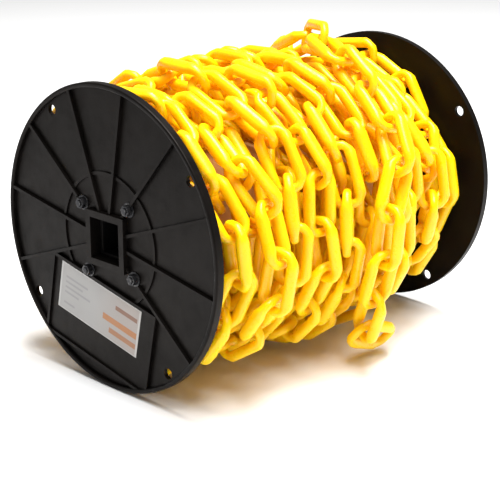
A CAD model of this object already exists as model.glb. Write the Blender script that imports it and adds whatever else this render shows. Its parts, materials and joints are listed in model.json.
"""A reel of plastic barrier chain on a pale floor."""
import json
import math

import bmesh
import bpy
import numpy as np
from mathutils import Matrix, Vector
from mathutils.bvhtree import BVHTree


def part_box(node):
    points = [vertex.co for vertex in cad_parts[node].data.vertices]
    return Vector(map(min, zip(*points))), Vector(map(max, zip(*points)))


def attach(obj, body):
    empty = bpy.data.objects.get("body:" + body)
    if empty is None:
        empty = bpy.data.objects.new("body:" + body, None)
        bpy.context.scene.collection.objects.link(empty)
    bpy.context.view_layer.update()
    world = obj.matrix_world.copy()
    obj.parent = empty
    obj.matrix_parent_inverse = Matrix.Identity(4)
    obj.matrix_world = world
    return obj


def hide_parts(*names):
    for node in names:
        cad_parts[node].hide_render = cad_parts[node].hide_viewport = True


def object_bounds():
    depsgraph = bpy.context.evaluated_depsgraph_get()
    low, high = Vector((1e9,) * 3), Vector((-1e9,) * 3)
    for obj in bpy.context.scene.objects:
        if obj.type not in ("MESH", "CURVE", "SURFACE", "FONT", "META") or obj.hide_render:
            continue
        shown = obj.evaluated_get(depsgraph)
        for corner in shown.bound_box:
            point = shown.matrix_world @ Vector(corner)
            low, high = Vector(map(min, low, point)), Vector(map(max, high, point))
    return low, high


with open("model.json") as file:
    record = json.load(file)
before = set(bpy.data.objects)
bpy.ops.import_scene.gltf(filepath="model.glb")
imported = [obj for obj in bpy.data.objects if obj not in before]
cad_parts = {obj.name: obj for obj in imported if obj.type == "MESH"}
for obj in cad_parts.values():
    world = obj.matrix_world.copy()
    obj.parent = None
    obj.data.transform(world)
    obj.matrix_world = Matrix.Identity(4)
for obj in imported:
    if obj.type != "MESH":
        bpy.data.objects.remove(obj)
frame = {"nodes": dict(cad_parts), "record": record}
cad_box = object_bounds()
nodes = frame["nodes"]

MM = 0.001
LABEL_TILT = math.radians(11.5)
LABEL_SIZE = (99 * MM, 42 * MM)
RULE_HALF_HEIGHT = 0.045  # of half the label's height
CAD_WELD = 0.01 * MM  # corners of one CAD solid nearer than this are one corner
LINK_WELD = 0.005 * MM
SHARP = math.radians(22)  # an edge that turns more than this gets a bevel
FLOOR_HALF = 8.0
FLOOR_GAP = 0.2 * MM
CAMERA_PLACE = (-0.8364, -0.8119, 0.3376)
CAMERA_WAY = (0.67873, 0.66417, -0.31337)

# ------------------------------------------------------------------ materials


class Graph:
    """A material's nodes, made in the order that they are used."""

    def __init__(self, name):
        self.material = bpy.data.materials.new(name)
        self.material.use_nodes = True
        self.tree = self.material.node_tree
        self.shader = self.tree.nodes["Principled BSDF"]
        self.place = self.add("ShaderNodeTexCoord").outputs["Object"]

    def add(self, kind, **settings):
        node = self.tree.nodes.new(kind)
        for key, value in settings.items():
            setattr(node, key, value)
        return node

    def link(self, source, socket):
        if hasattr(source, "links"):
            self.tree.links.new(source, socket)
        else:
            socket.default_value = source

    def math(self, operation, a, b=0.0, c=0.0):
        node = self.add("ShaderNodeMath", operation=operation)
        for value, socket in zip((a, b, c), node.inputs):
            self.link(value, socket)
        return node.outputs[0]

    def noise(self, scale, detail=3.0, roughness=0.5, place=None):
        node = self.add("ShaderNodeTexNoise")
        self.link(place or self.place, node.inputs["Vector"])
        node.inputs["Scale"].default_value = scale
        node.inputs["Detail"].default_value = detail
        node.inputs["Roughness"].default_value = roughness
        return node.outputs["Fac"]

    def spread(self, value, low, high, to_low, to_high):
        node = self.add("ShaderNodeMapRange")
        for source, name in (
            (value, "Value"), (low, "From Min"), (high, "From Max"), (to_low, "To Min"), (to_high, "To Max"),
        ):
            self.link(source, node.inputs[name])
        return node.outputs["Result"]

    def mix(self, share, one, two):
        node = self.add("ShaderNodeMix", data_type="RGBA")
        self.link(share, node.inputs[0])
        self.link(one, node.inputs[6])
        self.link(two, node.inputs[7])
        return node.outputs[2]

    def bump(self, height, distance, strength=1.0, normal=None):
        node = self.add("ShaderNodeBump")
        self.link(height, node.inputs["Height"])
        node.inputs["Distance"].default_value = distance
        node.inputs["Strength"].default_value = strength
        if normal:
            self.link(normal, node.inputs["Normal"])
        return node.outputs["Normal"]

    def set(self, **sockets):
        for name, value in sockets.items():
            self.link(value, self.shader.inputs[name.replace("_", " ")])


def colour(r, g, b):
    return (r, g, b, 1.0)


def chain_plastic():
    """Moulded polyethylene with flow marks and a little dust, slightly different from link to link."""
    g = Graph("chain_plastic")
    each = g.add("ShaderNodeNewGeometry").outputs["Random Per Island"]
    cloud = g.noise(38.0, 2.0)
    tone = g.math("ADD", g.math("MULTIPLY", each, 0.6), g.math("MULTIPLY", cloud, 0.6))
    base = g.mix(tone, colour(0.97, 0.53, 0.0005), colour(1.0, 0.62, 0.002))
    dust = g.spread(g.noise(260.0, 5.0, 0.6), 0.62, 0.80, 0.0, 0.06)
    base = g.mix(dust, base, colour(0.93, 0.68, 0.22))
    flow_marks = g.noise(420.0, 2.0)
    grain = g.noise(2600.0, 2.0)
    normal = g.bump(flow_marks, 0.0005, 0.35)
    normal = g.bump(grain, 0.0001, 0.25, normal)
    g.set(
        Base_Color=base, Roughness=g.spread(g.noise(190.0, 4.0), 0.3, 0.7, 0.24, 0.40), Normal=normal,
        Subsurface_Weight=0.45, Subsurface_Radius=(1.0, 0.5, 0.03), Subsurface_Scale=0.010,
        Specular_IOR_Level=0.36,
    )
    return g.material


def black_plastic(name, lightest, roughness):
    """Satin black moulded plastic: fine grain, faint flow marks, scuffs and a little dust."""
    g = Graph(name)
    cloud = g.noise(22.0, 4.0)
    base = g.mix(g.spread(cloud, 0.3, 0.7, 0.0, 1.0), colour(0.002, 0.0017, 0.0015), colour(*lightest))
    dust = g.spread(g.noise(340.0, 6.0, 0.65), 0.60, 0.78, 0.0, 0.14)
    base = g.mix(dust, base, colour(0.045, 0.037, 0.030))
    scuff = g.spread(g.noise(95.0, 6.0, 0.7), 0.35, 0.75, roughness - 0.08, roughness + 0.14)
    normal = g.bump(g.noise(1500.0, 3.0), 0.00018, 0.5)
    normal = g.bump(g.noise(60.0, 2.0), 0.0006, 0.3, normal)
    g.set(
        Base_Color=base, Roughness=scuff, Normal=normal,
        Specular_IOR_Level=0.10, Specular_Tint=colour(1.0, 0.88, 0.80),
    )
    return g.material


def core_board():
    """The core's wound kraft board, with its spiral plies and fibres."""
    g = Graph("core_board")
    fibre = g.add("ShaderNodeMapping")
    fibre.inputs["Scale"].default_value = (0.15, 1.0, 1.0)
    g.link(g.place, fibre.inputs["Vector"])
    strands = g.noise(900.0, 5.0, 0.7, fibre.outputs[0])
    ply = g.add("ShaderNodeTexWave", wave_type="BANDS", bands_direction="DIAGONAL")
    g.link(g.place, ply.inputs["Vector"])
    ply.inputs["Scale"].default_value = 6.0
    ply.inputs["Distortion"].default_value = 0.6
    base = g.mix(strands, colour(0.52, 0.27, 0.08), colour(0.66, 0.38, 0.14))
    base = g.mix(g.spread(ply.outputs["Fac"], 0.0, 0.12, 0.45, 0.0), base, colour(0.30, 0.14, 0.04))
    g.set(Base_Color=base, Roughness=0.86, Normal=g.bump(strands, 0.0003, 0.6))
    return g.material


def dark_steel():
    """Black oxide steel with brighter worn patches."""
    g = Graph("fastener_steel")
    worn = g.spread(g.noise(420.0, 5.0, 0.65), 0.50, 0.72, 0.0, 0.7)
    base = g.mix(worn, colour(0.035, 0.035, 0.038), colour(0.22, 0.21, 0.20))
    g.set(
        Base_Color=base, Metallic=0.85, Roughness=g.spread(worn, 0.0, 0.7, 0.48, 0.30),
        Normal=g.bump(g.noise(1800.0, 2.0), 0.0001, 0.4),
    )
    return g.material


def label_paper():
    """A plain coated paper label: faint grey rules on the left, warm bars on the right, no lettering."""
    g = Graph("label_paper")
    low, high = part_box("label")
    middle = (low + high) / 2
    tilt_cos, tilt_sin = math.cos(LABEL_TILT), math.sin(LABEL_TILT)
    across_way, up_way = (0.0, tilt_cos, tilt_sin), (0.0, -tilt_sin, tilt_cos)

    def along(way, sign, half):
        node = g.add("ShaderNodeVectorMath", operation="DOT_PRODUCT")
        g.link(g.place, node.inputs[0])
        node.inputs[1].default_value = way
        offset = sum(a * b for a, b in zip(way, middle))
        return g.math("MULTIPLY", g.math("SUBTRACT", node.outputs["Value"], offset), sign / half)

    # u runs from -1 at the left edge to 1 at the right, v from -1 at the bottom to 1 at the top
    u = along(across_way, -1, LABEL_SIZE[0] / 2)
    v = along(up_way, 1, LABEL_SIZE[1] / 2)

    def bar(left, right, bottom, top):
        across = g.math("COMPARE", u, (left + right) / 2, (right - left) / 2)
        up = g.math("COMPARE", v, (bottom + top) / 2, (top - bottom) / 2)
        return g.math("MULTIPLY", across, up)

    paper = g.mix(g.noise(30.0, 4.0), colour(0.31, 0.30, 0.29), colour(0.385, 0.375, 0.365))
    paper = g.mix(g.spread(u, -0.1, 0.7, 0.0, 0.5), paper, colour(0.37, 0.29, 0.245))
    rules_left = -0.86
    rules = ((-0.30, 0.46), (-0.42, 0.24), (-0.22, 0.02), (-0.50, -0.20), (-0.58, -0.66))
    for right, level in rules:
        rule = bar(rules_left, right, level - RULE_HALF_HEIGHT, level + RULE_HALF_HEIGHT)
        paper = g.mix(g.math("MULTIPLY", rule, 0.5), paper, colour(0.20, 0.20, 0.205))
    bars = (
        (0.40, 0.93, 0.40, 0.58, (0.20, 0.085, 0.045)),
        (0.12, 0.95, -0.28, -0.02, (0.40, 0.15, 0.035)),
        (0.30, 0.95, -0.70, -0.48, (0.34, 0.14, 0.05)),
    )
    for left, right, bottom, top, ink in bars:
        block = bar(left, right, bottom, top)
        paper = g.mix(g.math("MULTIPLY", block, 0.9), paper, colour(*ink))
    edge = g.math("MAXIMUM", g.math("ABSOLUTE", u), g.math("ABSOLUTE", v))
    paper = g.mix(g.spread(edge, 0.95, 0.97, 0.0, 0.75), paper, colour(0.52, 0.51, 0.49))
    normal = g.bump(g.noise(1400.0, 3.0), 0.00006, 0.4)
    normal = g.bump(g.noise(45.0, 2.0), 0.0006, 0.25, normal)
    g.set(Base_Color=paper, Roughness=g.spread(g.noise(120.0, 3.0), 0.3, 0.7, 0.42, 0.55), Normal=normal)
    return g.material


FINISHES = {
    "chain_plastic": chain_plastic(),
    "flange_plastic": black_plastic("flange_plastic", (0.0058, 0.0047, 0.0041), 0.40),
    "arbor_plastic": black_plastic("arbor_plastic", (0.008, 0.008, 0.0085), 0.50),
    "core_board": core_board(),
    "label_paper": label_paper(),
    "fastener_steel": dark_steel(),
}


def finish_node(node, finish, bevel, segments):
    """Welds, bevels and smooths a CAD node, and gives it its finish."""
    data = node.data
    data.materials.clear()
    data.materials.append(finish)
    data.polygons.foreach_set("use_smooth", [True] * len(data.polygons))
    if "custom_normal" in data.attributes:
        data.attributes.remove(data.attributes["custom_normal"])
    weld = node.modifiers.new("weld", "WELD")
    weld.merge_threshold = CAD_WELD
    if bevel:
        edges = node.modifiers.new("bevel", "BEVEL")
        edges.width = bevel
        edges.segments = segments
        edges.limit_method = "ANGLE"
        edges.angle_limit = SHARP
        edges.miter_outer = "MITER_ARC"
        edges.use_clamp_overlap = True
    shade = node.modifiers.new("shade", "WEIGHTED_NORMAL")
    shade.weight = 60
    shade.keep_sharp = False


SLOTS = {part["node"]: part["material_slot"] for part in frame["record"]["subparts"]}
BEVELS = {"flange_plastic": (0.35 * MM, 2), "arbor_plastic": (0.5 * MM, 2)}
SMALL_BEVEL = (0.12 * MM, 1)
for name, node in sorted(nodes.items()):
    if SLOTS[name] != "chain_plastic":
        bevel, segments = BEVELS.get(SLOTS[name], SMALL_BEVEL)
        finish_node(node, FINISHES[SLOTS[name]], bevel, segments)

# ------------------------------------------------------------------ chain links

# A quarter of the line through the middle of a link's bars: x and y in mm from the link's centre, and the
# direction away from the link at that point, in degrees from y.
QUARTER = (
    (0.0, 10.72, 0.0), (7.0, 10.72, 0.0), (12.6, 10.70, 2.0), (16.0, 10.45, 12.0), (18.9, 9.75, 27.0),
    (21.3, 8.10, 45.0), (22.9, 5.90, 64.0), (23.7, 3.20, 80.0), (23.9, 0.0, 90.0),
)
RING = 14  # points round a bar
ROUNDING = 5.0  # the higher, the nearer to the CAD link's section
FULLNESS = 1.04  # the rounding oval's size against the CAD link's section


def link_solids(node):
    """The link solids of a CAD node: for each, its corners, its faces, its centre and its axes."""
    mesh = bmesh.new()
    mesh.from_mesh(node.data)
    bmesh.ops.remove_doubles(mesh, verts=mesh.verts, dist=LINK_WELD)
    mesh.verts.ensure_lookup_table()
    seen = set()
    found = []
    for start in mesh.verts:
        if start.index in seen:
            continue
        seen.add(start.index)
        group, waiting = [], [start]
        while waiting:
            vert = waiting.pop()
            group.append(vert)
            for edge in vert.link_edges:
                other = edge.other_vert(vert)
                if other.index not in seen:
                    seen.add(other.index)
                    waiting.append(other)
        number = {vert.index: i for i, vert in enumerate(group)}
        faces = dict.fromkeys(face for vert in group for face in vert.link_faces)
        outlines = [[number[vert.index] for vert in face.verts] for face in faces]
        corners = np.array([vert.co for vert in group])
        centre = corners.mean(0)
        shortest_first = np.linalg.eigh(np.cov((corners - centre).T))[1]
        axes = shortest_first[:, ::-1].copy()
        axes[:, 2] = np.cross(axes[:, 0], axes[:, 1])
        found.append((corners, outlines, centre, axes))
    mesh.free()
    return found


def soft_link(corners, faces, centre, axes):
    """A moulded link's points and faces: rings round its bars, inside the CAD link and rounder than it."""
    solid = BVHTree.FromPolygons([Vector(p) for p in (corners - centre) @ axes], faces)
    quarter = [(x * MM, y * MM, math.radians(turn)) for x, y, turn in QUARTER]
    half = quarter + [(x, -y, math.pi - turn) for x, y, turn in quarter[-2::-1]]
    whole = half + [(-x, -y, turn + math.pi) for x, y, turn in half[1:-1]]
    angles = [2 * math.pi * k / RING for k in range(RING)]
    points = []
    for x, y, turn in whole:
        middle = Vector((x, y, 0))
        out = Vector((math.sin(turn), math.cos(turn), 0))
        ways = [out * math.cos(angle) + Vector((0, 0, math.sin(angle))) for angle in angles]
        reaches = [solid.ray_cast(middle, way)[3] for way in ways]
        upright = solid.ray_cast(middle, Vector((0, 0, 1)))[3]
        for angle, way, reach in zip(angles, ways, reaches):
            side = reaches[0] if math.cos(angle) > 0 else reaches[RING // 2]
            oval = FULLNESS / math.hypot(math.cos(angle) / side, math.sin(angle) / upright)
            rounded = (reach ** -ROUNDING + oval ** -ROUNDING) ** (-1 / ROUNDING)
            points.append(middle + way * rounded)
    quads = []
    for i in range(len(whole)):
        this, after = i * RING, (i + 1) % len(whole) * RING
        for k in range(RING):
            beside = (k + 1) % RING
            quads.append((this + k, this + beside, after + beside, after + k))
    return np.array(points), quads


BODY_OF = {name: body for body, names in frame["record"]["behaviour"]["bodies"].items() for name in names}
template = None  # every link has the first one's shape
for name in sorted(n for n in nodes if SLOTS[n] == "chain_plastic"):
    links = link_solids(nodes[name])
    if template is None:
        template = soft_link(*links[0])
    points, quads = template
    placed = np.vstack([centre + points @ axes.T for _, _, centre, axes in links])
    data = bpy.data.meshes.new(name + "_moulded")
    data.from_pydata(placed.tolist(), [], [
        [v + len(points) * i for v in quad] for i in range(len(links)) for quad in quads
    ])
    data.polygons.foreach_set("use_smooth", [True] * len(data.polygons))
    data.materials.append(FINISHES["chain_plastic"])
    data.update()
    moulded = bpy.data.objects.new(name + "_moulded", data)
    bpy.context.scene.collection.objects.link(moulded)
    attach(moulded, BODY_OF[name])
    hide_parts(name)

# ------------------------------------------------------------------ floor, lights and camera


def floor():
    """A pale matt floor just under the rims."""
    g = Graph("floor")
    base = g.mix(g.noise(3.0, 2.0), colour(0.86, 0.86, 0.86), colour(0.90, 0.90, 0.90))
    g.set(Base_Color=base, Roughness=0.75)
    data = bpy.data.meshes.new("floor")
    level = cad_box[0].z - FLOOR_GAP
    corners = [(x * FLOOR_HALF, y * FLOOR_HALF, level) for x, y in ((-1, -1), (1, -1), (1, 1), (-1, 1))]
    data.from_pydata(corners, [], [(0, 1, 2, 3)])
    data.materials.append(g.material)
    plane = bpy.data.objects.new("floor", data)
    bpy.context.scene.collection.objects.link(plane)


def soft_light(name, place, size, watts):
    """A round soft light that faces the object's middle."""
    data = bpy.data.lights.new(name, "AREA")
    data.shape = "DISK"
    data.size = size
    data.energy = watts
    lamp = bpy.data.objects.new(name, data)
    lamp.location = place
    lamp.rotation_mode = "QUATERNION"
    lamp.rotation_quaternion = (-Vector(place)).to_track_quat("-Z", "Y")
    bpy.context.scene.collection.objects.link(lamp)


floor()
soft_light("key", (-0.4, -1.0, 2.1), 1.1, 44.0)
soft_light("top", (0.2, -0.2, 2.3), 1.2, 106.0)

world = bpy.data.worlds.new("studio")
bpy.context.scene.world = world
world.use_nodes = True
background = world.node_tree.nodes["Background"]
background.inputs["Color"].default_value = colour(1.0, 0.995, 0.985)
background.inputs["Strength"].default_value = 0.30
# the photograph's yellow is brighter than the default transform gives
bpy.context.scene.view_settings.view_transform = "Standard"

lens = bpy.data.cameras.new("camera")
lens.lens = 100.8
lens.sensor_width = 36.0
lens.clip_start, lens.clip_end = 0.05, 60.0
camera = bpy.data.objects.new("camera", lens)
camera.location = CAMERA_PLACE
camera.rotation_mode = "QUATERNION"
camera.rotation_quaternion = Vector(CAMERA_WAY).to_track_quat("-Z", "Y")
bpy.context.scene.collection.objects.link(camera)
bpy.context.scene.camera = camera

bpy.context.view_layer.update()
